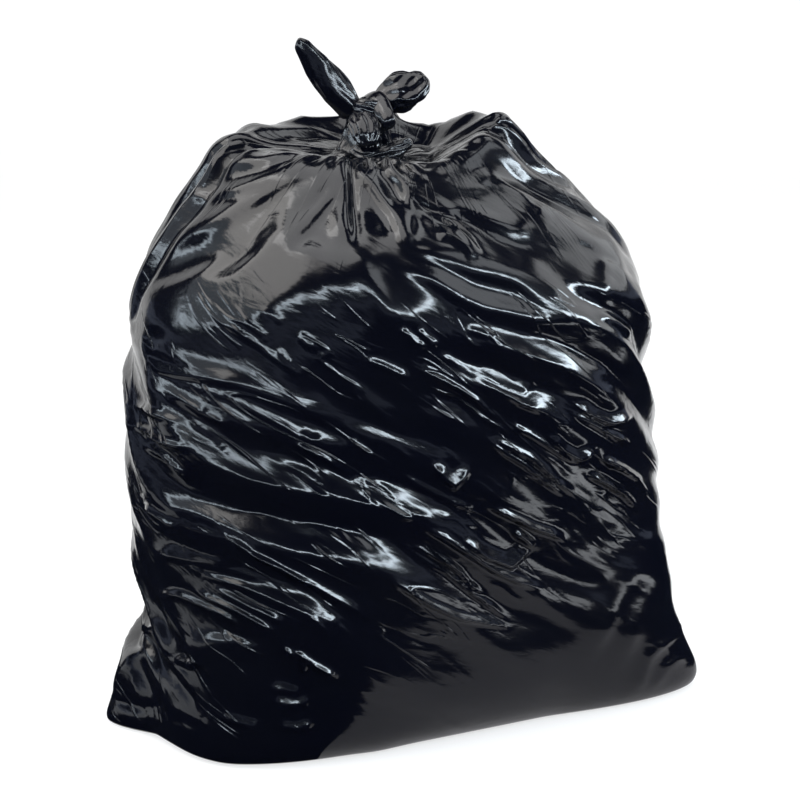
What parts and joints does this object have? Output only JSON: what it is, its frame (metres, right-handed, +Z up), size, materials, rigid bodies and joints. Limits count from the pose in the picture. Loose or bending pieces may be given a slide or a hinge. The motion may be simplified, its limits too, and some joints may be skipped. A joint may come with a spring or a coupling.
{
  "type": "tied refuse sack",
  "caption": "Full black film refuse sack, twisted shut and knotted with its own two tails, slumped on a flat bottom with pleats under the knot.",
  "frame": {"origin": "middle of the flat that the sack stands on, at floor level", "axes": "+Z up out of the knot, +X to the right and +Y away as the sack is seen from its front, with its bottom seam turned 31 degrees from +X"},
  "size_m": [0.607, 0.4491, 0.6759],
  "materials": {
    "film": "glossy thin polythene film, crumpled"
  },
  "bodies": {
    "root": {"sack": "film"}
  },
  "joints": []
}
